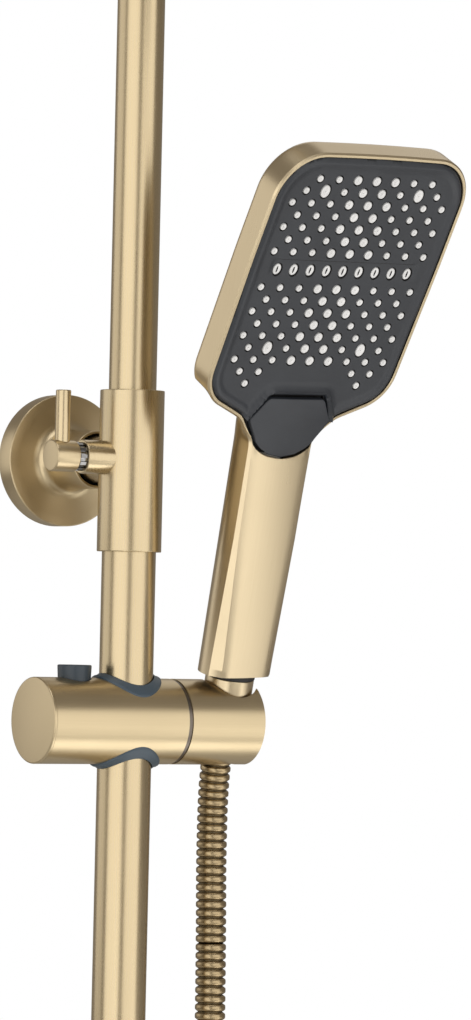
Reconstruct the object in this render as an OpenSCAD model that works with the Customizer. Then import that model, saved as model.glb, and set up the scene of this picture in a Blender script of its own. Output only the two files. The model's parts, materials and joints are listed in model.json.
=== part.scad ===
// Rainfall shower column. X runs to the right, Y runs into the wall and Z runs up.
// The origin is on the wall, at the centre of the water inlet behind the diverter.

/* [Column] */
// Distance from the wall to the column's axis
reach = 68; // [62:1:90]
// Height between the two wall fixings
bar_centres = 790; // [700:5:900]
// Radius of the upper riser
riser_r = 11; // [10.5:0.1:11.2]
// Radius of the lower slide bar
bar_r = 12.5; // [12:0.1:12.5]
// Height of the straight riser above the diverter
riser_h = 335; // [250:5:420]
// Forward reach of the overhead arm from the column's axis
arm_reach = 380; // [300:5:450]

/* [Diverter] */
// Radius of the diverter sleeve
sleeve_r = 14.5; // [14.3:0.1:17]
// Top of the diverter sleeve above its axis
sleeve_top = 31.5; // [30:0.5:40]
// Bottom of the diverter sleeve below its axis
sleeve_bottom = 43; // [40:0.5:50]
// Radius of the wall flanges
flange_r = 31; // [30:0.5:38]
// Radius of the diverter knob
knob_r = 7.2; // [6.5:0.1:8]

/* [Slider] */
// Height of the slider's axis below the diverter's axis
slider_drop = 121; // [110:1:300]
// Radius of the slider barrel and its knuckle
slider_r = 19.85; // [19.5:0.05:22]
// Left end of the barrel
barrel_x0 = -49.3; // [-60:0.1:-48]
// Right end of the barrel
barrel_x1 = 22.8; // [22:0.1:24]
// Right end of the knuckle
knuckle_x1 = 64.4; // [63:0.1:68]
// Distance from the column's axis to the handset socket
socket_x = 53.4; // [52:0.1:56]
// Forward lean of the socket in degrees
lean = 14; // [8:0.5:20]

/* [Handset] */
// Turn of the handset in its socket in degrees
handset_turn = 7.5; // [0:0.5:15]
// Forward tilt of the spray face from the handle in degrees
face_tilt = 16.5; // [15:0.5:18]
// Half the width of the handle
handle_w = 18.6; // [18:0.1:20]
// Half the width of the head
head_w = 57.5; // [56:0.5:62]
// Depth of the head's rim
head_d = 14.5; // [13:0.5:18]
// Thickness of the head's metal-look lip
lip = 1.9; // [1.5:0.1:2.5]

/* [Overhead shower] */
// Radius of the rain head
rain_r = 125; // [100:5:150]
// Rings of nozzles on the rain head
rain_rings = 6; // [4:1:6]

/* [Hidden] */

gold = [0.76, 0.64, 0.45];
charcoal = [0.18, 0.19, 0.21];
slate = [0.30, 0.36, 0.41];
nozzle_grey = [0.86, 0.87, 0.88];
steel = [0.70, 0.70, 0.70];
rubber = [0.06, 0.06, 0.06];
white = [0.92, 0.92, 0.90];

$fn = 64;
// Running gap in a joint, wall of the brass tubes, and outside radius of a G1/2 thread.
fit_gap = 0.05;
tube_wall = 1.2;
thread_r = 10.48;
// Waterway in the brass bodies, and the radius and wall end of the arms behind the flanges.
water_r = 7.5;
arm_r = 10.8;
arm_end = 10;
// Radius of the inlet nipple's end that is soldered into the diverter's arm.
spigot_r = 9.9;
// The flange's neck, its rim and fillet, and the diverter's side boss, knob and lever.
neck_d = 38.5;
neck_bore_r = 12;
neck_r = 13.5;
neck_fillet = 6;
rim_d = 10.4;
rim_edge = 0.6;
boss_x = -27;
boss_r = 7.8;
knob_x0 = -43.2;
knob_x1 = -31;
lever_x = -37;
lever_r = 3.5;
lever_top = 30.2;
stem_r = 3;
// Heights of the lower fixing, the water outlet's foot and the slider.
lower_z = -bar_centres;
foot_z = lower_z - 45;
slider_z = -slider_drop;
// The overhead arm's bends, its height, and where the rain head's ball and shell sit.
bend_r = 60;
drop_r = 45;
arm_z = riser_h + bend_r;
rain_y = -reach - arm_reach;
arm_tip_z = arm_z - drop_r - 20;
ball_z = arm_tip_z - 24;
ball_r = 9.5;
rain_top = ball_z - 9;
rain_rim_z = rain_top - 19;
// Screw holes in the lower wall plate.
plate_hole_x = 17;
plate_hole_r = 2.75;
// The barrel's hole round the bar, and the release button.
hole_r = 15.35;
button_x = -27.8;
button_r = 7.9;
// The hose, its crimped tail and the cone nut at its upper end.
tail_r = 7.45;
hose_r = 7;
cone_low = -16;
cone_mid = 8;
cone_r = 11.5;
cone_high = 21;
// The handle's ends, the spray face's place and the paddle's place and tilt.
handle_z0 = 24.5;
handle_z1 = 146;
face_y = -34;
face_z = 221;
tongue_y = -12.3;
tongue_z = 129;
tongue_tilt = 12.3;
// Spacing of the nozzles on the spray face.
half_pitch = 5.61;
row_pitch = 6.16;
slot_pitch = 9.77;
first_row_up = 9.15;
first_row_down = 9.05;

// A cylinder along X from x0 to x1.
module along_x(x0, x1, r, sides = 64) {
  translate([x0, 0, 0]) rotate([0, 90, 0]) cylinder(r = r, h = x1 - x0, $fn = sides);
}

// A cylinder along Y from y0 to y1.
module along_y(y0, y1, r, sides = 64) {
  translate([0, y0, 0]) rotate([-90, 0, 0]) cylinder(r = r, h = y1 - y0, $fn = sides);
}

// A cylinder along Z from z0 to z1.
module along_z(z0, z1, r, sides = 64) {
  translate([0, 0, z0]) cylinder(r = r, h = z1 - z0, $fn = sides);
}

// A flat ring along Z.
module ring_z(z0, z1, outer, inner) {
  difference() {
    along_z(z0, z1, outer);
    along_z(z0 - 1, z1 + 1, inner);
  }
}

// A round-section ring about Z at height z.
module o_ring(z, middle_r, wire_r) {
  translate([0, 0, z]) rotate_extrude() translate([middle_r, 0]) circle(r = wire_r, $fn = 24);
}

// Places children on the column's axis.
module at_column(z = 0) {
  translate([0, -reach, z]) children();
}

// Places children on the cone's axis in the knuckle's socket.
module at_socket() {
  at_column(slider_z) translate([socket_x, 0, 0]) rotate([lean, 0, 0]) children();
}

// Places children in the handset's own frame, with Z up its handle.
module at_handset() {
  at_socket() rotate([0, 0, handset_turn]) children();
}

// Places children on the spray face, with X across, Z up and Y into the head.
module at_face() {
  at_handset() translate([0, face_y, face_z]) rotate([face_tilt, 0, 0]) children();
}

// Places children on the selector paddle, with the origin at its lowest point.
module at_paddle() {
  at_handset() translate([0, tongue_y, tongue_z]) rotate([tongue_tilt, 0, 0]) children();
}

// Extrudes an outline drawn in X and Z from y0 to y1.
module plate(points, y0, y1) {
  translate([0, y1, 0]) rotate([90, 0, 0]) linear_extrude(y1 - y0) polygon(points);
}

// Points on an arc.
function arc(cx, cy, r, a0, a1, steps = 8) =
  [for (i = [0:steps]) [cx + r * cos(a0 + (a1 - a0) * i / steps), cy + r * sin(a0 + (a1 - a0) * i / steps)]];

// The same points seen in a mirror across the vertical axis, in reverse order.
function mirrored(points) =
  [for (i = [len(points) - 1:-1:0]) [-points[i][0], points[i][1]]];

// A vector's direction, the route's direction at a point, and a direction across it.
function unit(v) = v / norm(v);
function route_dir(p, i) = unit(p[min(i + 1, len(p) - 1)] - p[max(i - 1, 0)]);
function side_of(d, across) = unit(cross(across, d));
// The rings of a swept tube, and the faces that join them.
function tube_points(p, r, sides, across) = [for (i = [0:len(p) - 1]) for (k = [0:sides - 1])
  let (d = route_dir(p, i), s = side_of(d, across), t = cross(d, s), a = 360 * k / sides)
  p[i] + r * cos(a) * s + r * sin(a) * t];
function tube_faces(n, sides) = concat(
  [[for (k = [0:sides - 1]) k]],
  [for (i = [0:n - 2]) for (k = [0:sides - 1]) let (a = i * sides, b = (k + 1) % sides)
    [a + k, a + sides + k, a + sides + b, a + b]],
  [[for (k = [sides - 1:-1:0]) (n - 1) * sides + k]]);

// A round tube swept along a route.
module sweep(p, r, sides, across) {
  polyhedron(points = tube_points(p, r, sides, across), faces = tube_faces(len(p), sides));
}

// A coil spring about Z.
module coil(r, wire_r, height, turns) {
  steps = turns * 12;
  sweep([for (i = [0:steps]) [r * cos(30 * i), r * sin(30 * i), wire_r + (height - 2 * wire_r) * i / steps]],
    wire_r, 6, [0, 0, 1]);
}

// The wall flange's section, as radius and distance from the wall.
flange_section = concat(
  [[flange_r - 1.8, 0], [flange_r, 0]],
  arc(flange_r - rim_edge, rim_d - rim_edge, rim_edge, 0, 90, 4),
  arc(neck_r + neck_fillet, rim_d + 0.6 + neck_fillet, neck_fillet, 270, 180, 8),
  [[neck_r, neck_d], [neck_bore_r, neck_d], [neck_bore_r, 12], [17, 8.8], [flange_r - 4, 7.8],
   [flange_r - 1.8, 6]]);

module flange() {
  color(gold) rotate([90, 0, 0]) rotate_extrude() polygon(flange_section);
}

module gasket() {
  color(rubber) rotate([90, 0, 0]) ring_z(0, 1.4, flange_r - 1.9, flange_r - 5);
}

module inlet_nipple() {
  color(gold) difference() {
    union() {
      along_y(-25, -8, spigot_r);
      along_y(-9, -3, 12.4, 6);
      along_y(-4, 1, thread_r - 1);
      along_y(0, 16, thread_r);
    }
    along_y(-26, 17, water_r);
  }
}

module upper_flange() {
  flange();
}

module upper_gasket() {
  gasket();
}

module diverter_body() {
  color(gold) difference() {
    union() {
      at_column() along_z(-sleeve_bottom, sleeve_top, sleeve_r, 96);
      along_y(-reach, -arm_end, arm_r);
      at_column() along_x(boss_x, 0, boss_r);
    }
    at_column() along_z(-sleeve_bottom - 1, -13, bar_r + fit_gap / 2);
    at_column() along_z(12, sleeve_top + 1, riser_r + fit_gap / 2);
    at_column() along_z(-14, 13, 6);
    at_column() along_z(24, 27, riser_r + 1.75);
    at_column() along_z(-31.5, -29, bar_r + 1.2);
    along_y(-reach, -25, water_r);
    along_y(-25.5, 0, spigot_r + 0.02);
    at_column() along_x(boss_x - 1, -9, 6);
    at_column() along_x(-10, 0, 3);
  }
}

module diverter_cartridge() {
  color(white) at_column() difference() {
    along_x(-25, -10, 5.95);
    along_x(-26, -14, stem_r + fit_gap);
  }
}

module cartridge_nut() {
  color(steel) at_column() difference() {
    union() {
      along_x(boss_x - 3.6, boss_x, 5.9, 48);
      along_x(boss_x, -25.2, 5.9, 48);
      for (k = [0:11]) rotate([30 * k, 0, 0]) translate([boss_x - 3.6, -0.8, 0]) cube([3.5, 1.6, 6.6]);
    }
    along_x(boss_x - 5, -24, stem_r + fit_gap);
  }
}

module diverter_stem() {
  color(steel) at_column() along_x(-40, -15, stem_r);
}

module diverter_knob() {
  color(gold) at_column() difference() {
    union() {
      along_x(knob_x0 + 0.7, knob_x1, knob_r);
      translate([knob_x0, 0, 0]) rotate([0, 90, 0]) cylinder(r1 = knob_r - 0.7, r2 = knob_r, h = 0.7);
    }
    along_x(-40.1, knob_x1 + 1, stem_r + 0.02);
    translate([lever_x, 0, 4.4]) cylinder(r = lever_r + 0.02, h = 6);
    translate([lever_x, 0, -knob_r - 1]) cylinder(r = 1.55, h = knob_r - 2);
  }
}

module diverter_lever() {
  color(gold) at_column() translate([lever_x, 0, 0]) union() {
    along_z(4.4, lever_top - 0.6, lever_r);
    translate([0, 0, lever_top - 0.6]) cylinder(r1 = lever_r, r2 = lever_r - 0.6, h = 0.6);
  }
}

module knob_grub_screw() {
  color(steel) at_column() translate([lever_x, 0, -knob_r + 0.4]) cylinder(r = 1.5, h = 3.5);
}

module seal_rings() {
  color(rubber) {
    at_column() o_ring(25.5, riser_r + 0.86, 0.8);
    at_column() o_ring(-30.25, bar_r + 0.62, 0.55);
    at_column(lower_z) o_ring(26, bar_r + 0.62, 0.55);
    rotate([90, 0, 0]) o_ring(30, arm_r + 0.61, 0.56);
    translate([0, 0, lower_z]) rotate([90, 0, 0]) o_ring(30, arm_r + 0.61, 0.56);
  }
}

// The overhead pipe's path, drawn as a solid rod of radius r.
module riser_path(r, over) {
  at_column() along_z(12 - over, riser_h, r);
  translate([0, -reach - bend_r, riser_h]) rotate([90, 0, 90]) rotate_extrude(angle = 90)
    translate([bend_r, 0]) circle(r = r);
  translate([0, 0, arm_z]) along_y(rain_y + drop_r, -reach - bend_r, r);
  translate([0, rain_y + drop_r, arm_z - drop_r]) rotate([90, 0, 90]) rotate([0, 0, 90])
    rotate_extrude(angle = 90) translate([drop_r, 0]) circle(r = r);
  translate([0, rain_y, 0]) along_z(arm_tip_z - over, arm_z - drop_r, r);
}

module upper_tube() {
  color(gold) difference() {
    riser_path(riser_r, 0);
    riser_path(riser_r - tube_wall, 1);
  }
}

module lower_tube() {
  color(gold) at_column() difference() {
    along_z(lower_z - 8, -13.1, bar_r);
    along_z(lower_z - 9, -12, bar_r - tube_wall);
  }
}

module lower_body() {
  color(gold) translate([0, 0, lower_z]) difference() {
    union() {
      at_column() along_z(-45, 40, sleeve_r, 96);
      along_y(-reach, -arm_end, arm_r);
    }
    at_column() along_z(-8.1, 41, bar_r + fit_gap / 2);
    at_column() along_z(24.8, 27.2, bar_r + 1.2);
    at_column() along_z(-35, -8, water_r);
    at_column() along_z(-46, -34, thread_r + 0.02);
    along_y(-40, 0, water_r);
    translate([0, -20, -arm_r - 1]) cylinder(r = 2.05, h = 6);
  }
}

module lower_flange() {
  translate([0, 0, lower_z]) flange();
}

module lower_gasket() {
  translate([0, 0, lower_z]) gasket();
}

module lower_wall_plate() {
  color(steel) translate([0, 0, lower_z]) difference() {
    union() {
      along_y(-4, 0, 23.5);
      along_y(-34, -3, water_r - 0.03);
    }
    for (s = [-1, 1]) translate([s * plate_hole_x, 0, 0]) along_y(-5, 1, plate_hole_r);
  }
}

module lower_grub_screw() {
  color(steel) translate([0, -20, lower_z - arm_r + 0.2]) cylinder(r = 2, h = 3);
}

module outlet_nipple() {
  color(gold) at_column(foot_z) difference() {
    union() {
      along_z(-14, 10.9, thread_r);
      along_z(-4, 0, 12.6, 6);
    }
    along_z(-15, 12, 6.5);
  }
}

module lower_hose_washer() {
  color(rubber) at_column(foot_z) ring_z(-16, -14, 9.8, 5);
}

module hose_lower_nut() {
  color(gold) at_column(foot_z) difference() {
    along_z(-25, -4.2, 13);
    along_z(-18.1, -3, thread_r + 0.02);
    along_z(-26, -17, tail_r + 0.1);
  }
}

module hose_lower_tail() {
  color(gold) at_column(foot_z) difference() {
    union() {
      along_z(-18, -16, 9.8);
      along_z(-30, -17, tail_r);
    }
    along_z(-31, -15, 5);
  }
}

// The hose's route from the handset's cone, down its free loop and up to the outlet.
hose_across = [0, 1, 0];
hose_top = [socket_x, -reach + 14.2 * sin(lean), slider_z - 14.2 * cos(lean)];
hose_route = concat([hose_top], [
  [53.4, -62.63, -142.54], [53.8, -60.5, -158], [54.2, -59.6, -185], [54.5, -60.2, -220],
  [54.5, -61, -260], [54.5, -61, -305],
  [54.5, -61, -350], [54.5, -61, -395], [54.5, -61, -440], [54.5, -61, -485], [54.5, -61, -530],
  [54.5, -61, -575], [54.5, -61, -620], [55, -61, -665], [57, -61, -710], [60, -61, -755],
  [64, -61, -800], [69.5, -61, -845], [76, -61, -890], [84, -61, -935], [91, -61, -980],
  [97, -61, -1025], [101, -61, -1070], [101, -61, -1112], [95, -62, -1150], [81, -62, -1181],
  [57, -63, -1201], [27, -64, -1208], [-3, -64, -1201], [-28, -65, -1181], [-43, -66, -1151],
  [-49, -67, -1112], [-48, -67, -1068], [-42, -68, -1025], [-32, -68, -983], [-20, -68, -944],
  [-8, -68, -910], [-2, -68, -886]],
  [[0, -reach, foot_z - 30.05]]);

module hose() {
  color(gold) sweep(hose_route, hose_r, 10, hose_across);
}

module hose_upper_tail() {
  color(gold) at_socket() difference() {
    union() {
      along_z(3.5, 5.9, 9);
      along_z(-13.9, 4, tail_r);
    }
    along_z(-15, 7, 5);
  }
}

module hose_cone_nut() {
  color(gold) at_socket() difference() {
    union() {
      translate([0, 0, cone_low]) cylinder(r1 = cone_r - 2.5, r2 = cone_r, h = cone_mid - cone_low);
      along_z(cone_mid, cone_high, cone_r);
    }
    along_z(7.6, cone_high + 1, thread_r + 0.02);
    along_z(3.4, 8, 9.15);
    along_z(cone_low - 1, 4, tail_r + 0.15);
  }
}

module upper_hose_washer() {
  color(rubber) at_socket() ring_z(6, 8, 9.1, 5);
}

module slider_bush() {
  color(slate) at_column(slider_z) ring_z(-12, 12, hole_r - 0.3, bar_r + fit_gap);
}

module slider_barrel() {
  color(gold) at_column(slider_z) difference() {
    along_x(barrel_x0 + 1.5, barrel_x1, slider_r, 96);
    along_z(-30, 30, hole_r);
    along_x(barrel_x0, -37.5, 17);
    along_x(-38, -14, 5.05);
    translate([button_x, 0, 0]) along_z(13, 30, button_r + 0.2);
    translate([button_x, 0, 0]) along_z(6, 30, 6.9);
    translate([button_x, 0, 0]) along_z(-7, 30, 4.1);
    along_x(14, 30, stem_r + fit_gap);
    along_x(14, 19.5, 5.45);
  }
}

module barrel_end_cap() {
  color(gold) at_column(slider_z) union() {
    translate([barrel_x0, 0, 0]) rotate([0, 90, 0])
      cylinder(r1 = slider_r - 0.6, r2 = slider_r, h = 0.6, $fn = 96);
    along_x(barrel_x0 + 0.6, barrel_x0 + 1.5, slider_r, 96);
    along_x(barrel_x0 + 1.4, -44, 16.95);
  }
}

// The collar that fills the gap between the barrel's hole and the bar, and follows the barrel.
module collar() {
  color(slate) difference() {
    intersection() {
      along_x(-20, 20, slider_r + 1.6, 96);
      along_z(12.3, 25, 16);
    }
    along_z(11, 26, bar_r + 0.3);
    difference() {
      along_x(-21, 21, slider_r + 0.03, 96);
      along_z(11, 26, hole_r - 0.03);
    }
  }
}

module collar_top() {
  at_column(slider_z) collar();
}

module collar_bottom() {
  at_column(slider_z) rotate([180, 0, 0]) collar();
}

module brake_pin() {
  color(steel) at_column(slider_z) intersection() {
    along_x(-23.4, -14, 5);
    difference() {
      along_z(-8, 8, 30);
      along_z(-9, 9, hole_r - 0.03);
    }
  }
}

module release_button() {
  color(slate) at_column(slider_z) translate([button_x, 0, 0]) union() {
    translate([0, 0, 16.3]) cylinder(r1 = button_r - 0.3, r2 = button_r, h = 8.7);
    translate([0, 0, 25]) cylinder(r1 = button_r, r2 = button_r - 0.6, h = 0.6);
    along_z(-3.5, 16.4, 4);
  }
}

module button_spring() {
  color(steel) at_column(slider_z) translate([button_x, 0, 6.1]) coil(5.6, 0.5, 10.1, 4);
}

module friction_ring() {
  color(steel) at_column(slider_z) difference() {
    along_x(barrel_x1 + 0.05, 24.9, slider_r - 0.45, 96);
    along_x(barrel_x1 - 1, 26, stem_r + fit_gap);
  }
}

module knuckle() {
  color(gold) at_column(slider_z) difference() {
    along_x(25, knuckle_x1, slider_r, 96);
    translate([socket_x, 0, 0]) rotate([lean, 0, 0]) translate([0, 0, -30])
      cylinder(r1 = cone_r - 3.6, r2 = cone_r + 2.65, h = 60);
    translate([socket_x, 0, 0]) rotate([lean, 0, 0]) translate([0, -7.6, -40]) cube([20, 15.2, 80]);
    along_x(24, 40, stem_r + fit_gap);
    along_x(34.2, 46, 5.6);
  }
}

module pivot_bolt() {
  color(steel) at_column(slider_z) union() {
    along_x(15.9, 35.3, stem_r);
    along_x(35.2, 38.4, 5.3);
  }
}

module pivot_nut() {
  color(steel) at_column(slider_z) difference() {
    along_x(15.9, 19.4, 5.35);
    along_x(15, 20, stem_r + 0.02);
  }
}

module spring_washer() {
  color(steel) at_column(slider_z) difference() {
    along_x(34.25, 35.1, 5.3);
    along_x(34, 36, stem_r + 0.1);
  }
}

// Half of the head's outline, drawn inward by t, from the middle of its top to the neck.
function head_half(t) = concat(
  [[0, 59 - t]],
  arc(head_w - 24, 35, 24 - t, 90, 0),
  arc(head_w - 20.8, -52, 19.5 - t, 0, -70),
  arc(36.4, -86.4, 12 + t, 110, 140, 5),
  [[19.4 - t, -90]]);
function head_outline(t) = concat(head_half(t), mirrored(head_half(t)));

// Half of the paddle's outline, grown outward by t.
function paddle_half(t) = [
  [0, 29.6 + t], [15.8 + t, 29.6 + t], [23.4 + t, 18.6], [20.2 + t, 13.2], [18.4 + t, 9.2],
  [14.6 + t, 5 - t / 2], [8, 1.4 - t], [0, -t]];
function paddle_outline(t) = concat(paddle_half(t), mirrored(paddle_half(t)));

// The handle's section, crowned in front and round behind.
handle_section = concat(
  [[-16.2, -10.7], [-9, -11.7], [0, -12], [9, -11.7], [16.2, -10.7], [handle_w, -8.3]],
  [for (a = [0:15:180]) [handle_w * cos(a), -2.5 + 14.5 * sin(a)]],
  [[-handle_w, -8.3]]);

module handset_housing() {
  color(gold) difference() {
    union() {
      at_face() plate(head_outline(0), 0, head_d);
      at_handset() translate([0, 0, handle_z0]) linear_extrude(handle_z1 - handle_z0) polygon(handle_section);
      at_handset() rotate([90, 0, 90]) translate([0, 0, -15]) linear_extrude(30)
        polygon([[10, handle_z1 - 25], [-14, handle_z1 + 60], [-24, handle_z1 + 54], [-8, handle_z1 - 25]]);
    }
    at_face() plate(concat(
      [for (p = head_outline(lip)) if (p[1] > -80) p]), -30, head_d - 2.5);
    at_paddle() plate(paddle_outline(0.4), -20, 5.4);
    at_paddle() translate([0, 0, 24]) along_y(5, 9, 3.6);
    at_handset() along_z(handle_z0 - 1, 42, 10.05);
    at_handset() along_z(41, 158, 8.05);
  }
}

// Nozzle places on the face, as [half-pitch index, row height, size] where size is 0, 1 or 2.
function row_height(j) = j < 7 ? first_row_up + (6 - j) * row_pitch
  : -first_row_down - (j - 8) * row_pitch;
function row_columns(j) = j == 16 ? [-6, 6]
  : j == 15 ? [-7, -5, 5, 7]
  : j == 0 ? [-6:2:6]
  : j % 2 == 1 ? [-7:2:7]
  : [-8:2:8];
function nozzle_size(i, j) =
  (j == 1 || j == 13) && abs(i) == 5 ? 2
  : j > 14 ? 0
  : abs(i) <= 2 ? 1 : 0;
nozzles = [for (j = [0:16]) if (j != 7) for (i = row_columns(j))
  [i * half_pitch, row_height(j), nozzle_size(i, j)]];
small_r = 1.6;
large_r = 2.15;
oval_a = 2.1;
oval_b = 3.1;
slot_a = 1.8;
slot_b = 2.7;
nozzle_h = 1.1;

module nozzle_group(size, r, grow = 0) {
  at_face() for (n = nozzles) if (n[2] == size)
    translate([n[0], 0, n[1]]) along_y(-nozzle_h, 3.2, r + grow, 20);
}

// An oval outline in X and Z about a centre.
function oval(cx, cz, a, b) = [for (k = [0:15]) [cx + a * cos(22.5 * k), cz + b * sin(22.5 * k)]];

module oval_group(grow = 0) {
  at_face() for (n = nozzles) if (n[2] == 2)
    plate(oval(n[0], n[1], oval_a + grow, oval_b + grow), -nozzle_h, 3.2);
}

module slot_group(grow = 0) {
  at_face() for (k = [-4:4])
    plate(oval(k * slot_pitch, 0, slot_a + grow, slot_b + grow), -nozzle_h + 0.6, 3.2);
}

module spray_face() {
  color(charcoal) difference() {
    at_face() plate([for (p = head_outline(lip + 0.05)) if (p[1] > -80) p], 0, 2.5);
    at_paddle() plate(paddle_outline(0.9), -20, 20);
    nozzle_group(0, small_r);
    nozzle_group(1, large_r);
    oval_group();
    slot_group();
  }
}

module paddle() {
  color(charcoal) at_paddle() plate(paddle_outline(0), 0, 3);
}

module paddle_spring() {
  color(steel) at_paddle() translate([0, 4.4, 24]) rotate([-90, 0, 0]) coil(2.6, 0.35, 4.4, 3);
}

module nozzles_small() {
  color(nozzle_grey) nozzle_group(0, small_r);
}

module nozzles_large() {
  color(nozzle_grey) nozzle_group(1, large_r);
}

module nozzles_oval() {
  color(nozzle_grey) oval_group();
}

module nozzles_slot() {
  color(nozzle_grey) slot_group();
}

module channel_plate() {
  color(white) at_face() difference() {
    plate([for (p = head_outline(4.5)) if (p[1] > -60) p], 3.3, 9);
    translate([0, 0, -50]) along_y(5, 10, 7);
  }
}

module handle_waterway() {
  color(white) at_handset() ring_z(42, 150, 8, 6.4);
}

module handset_spigot() {
  color(steel) at_handset() difference() {
    union() {
      along_z(8.1, 24.6, thread_r - 0.02);
      along_z(24.4, 41.9, 10);
    }
    along_z(7, 43, 6);
  }
}

module handle_ring() {
  color(rubber) at_handset() ring_z(cone_high + 0.1, handle_z0 - 0.1, 11.9, thread_r + 0.02);
}

// Places children on the rain head's axis.
module at_rain(z = 0) {
  translate([0, rain_y, z]) children();
}

module ball_stem() {
  color(gold) at_rain() difference() {
    union() {
      along_z(arm_tip_z - 6, arm_tip_z + 14, 13.4);
      along_z(ball_z, arm_tip_z, 6);
      translate([0, 0, ball_z]) sphere(r = ball_r);
    }
    along_z(arm_tip_z - 0.1, arm_tip_z + 15, riser_r + fit_gap / 2);
    along_z(ball_z - 20, arm_tip_z + 1, 3.5);
  }
}

module ball_seat() {
  color(white) at_rain() difference() {
    along_z(ball_z - 6, ball_z + 5, 13);
    translate([0, 0, ball_z]) sphere(r = ball_r + 0.06);
    along_z(ball_z - 7, ball_z, 5);
  }
}

module ball_nut() {
  color(gold) at_rain() difference() {
    along_z(rain_top, ball_z + 8, 17.5);
    along_z(rain_top - 1, ball_z + 5.2, 13.06);
    along_z(ball_z, ball_z + 9, 11);
  }
}

module rain_shell() {
  color(gold) at_rain() difference() {
    union() {
      along_z(rain_rim_z, rain_rim_z + 8, rain_r, 128);
      translate([0, 0, rain_rim_z + 8]) cylinder(r1 = 42, r2 = 17.5, h = 6);
      along_z(rain_rim_z + 13, rain_top - 0.05, 17.5);
    }
    along_z(rain_rim_z - 1, rain_rim_z + 5.5, rain_r - lip, 128);
    along_z(rain_rim_z + 5, rain_top + 1, 9);
  }
}

// Nozzle places on the rain head: rings of six, twelve, eighteen and so on.
rain_spots = concat([[0, 0]], [for (k = [1:rain_rings]) for (i = [0:6 * k - 1])
  (rain_r - 15) * k / rain_rings * [cos(60 * i / k), sin(60 * i / k)]]);

module rain_nozzle_group() {
  at_rain() for (p = rain_spots)
    translate([p[0], p[1], 0]) along_z(rain_rim_z - 1.4, rain_rim_z + 3.2, 2.2, 20);
}

module rain_face() {
  color(charcoal) difference() {
    at_rain() along_z(rain_rim_z, rain_rim_z + 2.5, rain_r - lip - 0.05, 128);
    rain_nozzle_group();
  }
}

module rain_nozzles() {
  color(nozzle_grey) rain_nozzle_group();
}

module flow_regulator() {
  color(white) at_rain() ring_z(rain_rim_z + 10, rain_rim_z + 15, 8.95, 2);
}

inlet_nipple();
upper_flange();
upper_gasket();
diverter_body();
diverter_cartridge();
cartridge_nut();
diverter_stem();
diverter_knob();
diverter_lever();
knob_grub_screw();
seal_rings();
upper_tube();
lower_tube();
lower_body();
lower_flange();
lower_gasket();
lower_wall_plate();
lower_grub_screw();
outlet_nipple();
lower_hose_washer();
hose_lower_nut();
hose_lower_tail();
hose();
hose_upper_tail();
hose_cone_nut();
upper_hose_washer();
slider_bush();
slider_barrel();
barrel_end_cap();
collar_top();
collar_bottom();
brake_pin();
release_button();
button_spring();
friction_ring();
knuckle();
pivot_bolt();
pivot_nut();
spring_washer();
handset_housing();
spray_face();
paddle();
paddle_spring();
nozzles_small();
nozzles_large();
nozzles_oval();
nozzles_slot();
channel_plate();
handle_waterway();
handset_spigot();
handle_ring();
ball_stem();
ball_seat();
ball_nut();
rain_shell();
rain_face();
rain_nozzles();
flow_regulator();
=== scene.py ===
"""Rainfall shower column: the looks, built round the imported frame.

The row frame is in metres: +X right, +Y into the wall, +Z up, origin at the water inlet on the wall.
Local shapes are drawn in millimetres and placed by a matrix.
"""
import json
import math
import bpy
import bmesh
import numpy as np
from mathutils import Matrix, Vector
from mathutils.geometry import delaunay_2d_cdt


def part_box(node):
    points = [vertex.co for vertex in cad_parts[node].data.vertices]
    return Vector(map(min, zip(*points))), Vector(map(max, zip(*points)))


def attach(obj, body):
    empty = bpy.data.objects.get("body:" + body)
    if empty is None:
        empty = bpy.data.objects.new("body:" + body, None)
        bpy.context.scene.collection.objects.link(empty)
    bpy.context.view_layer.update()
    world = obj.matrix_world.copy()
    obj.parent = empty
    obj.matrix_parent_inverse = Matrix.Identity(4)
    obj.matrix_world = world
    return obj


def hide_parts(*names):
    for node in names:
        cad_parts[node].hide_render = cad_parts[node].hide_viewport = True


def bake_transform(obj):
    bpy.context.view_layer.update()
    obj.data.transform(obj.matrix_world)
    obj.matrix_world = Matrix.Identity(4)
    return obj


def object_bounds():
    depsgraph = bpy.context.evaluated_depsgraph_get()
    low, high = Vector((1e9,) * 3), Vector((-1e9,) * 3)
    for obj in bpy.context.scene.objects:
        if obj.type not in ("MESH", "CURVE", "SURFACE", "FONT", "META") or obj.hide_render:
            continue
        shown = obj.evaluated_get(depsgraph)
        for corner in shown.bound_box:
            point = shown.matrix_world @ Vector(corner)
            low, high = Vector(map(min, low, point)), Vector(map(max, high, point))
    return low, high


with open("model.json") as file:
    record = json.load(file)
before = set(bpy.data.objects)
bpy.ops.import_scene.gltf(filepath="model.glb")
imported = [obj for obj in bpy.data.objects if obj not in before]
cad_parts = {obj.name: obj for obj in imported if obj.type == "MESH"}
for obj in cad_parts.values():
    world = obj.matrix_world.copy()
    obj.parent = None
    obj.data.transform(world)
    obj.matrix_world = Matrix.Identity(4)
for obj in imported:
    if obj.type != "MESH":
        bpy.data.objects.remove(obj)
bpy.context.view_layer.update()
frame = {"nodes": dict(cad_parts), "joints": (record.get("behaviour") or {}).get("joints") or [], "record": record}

MM = 0.001
NODES = frame["nodes"]
RECORD = frame["record"]
JOINTS = {j["name"]: j for j in frame["joints"]}
SLOT_OF = {s["node"]: s["material_slot"] for s in RECORD["subparts"]}
BODY_OF = {n: b for b, ns in RECORD["behaviour"]["bodies"].items() for n in ns}


# ---------------------------------------------------------------- places

def centre_of(node):
    low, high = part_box(node)
    return (low + high) / 2


def about(axis, degrees):
    return Matrix.Rotation(math.radians(degrees), 4, axis)


def moved(x, y, z):
    return Matrix.Translation((x * MM, y * MM, z * MM))


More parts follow.
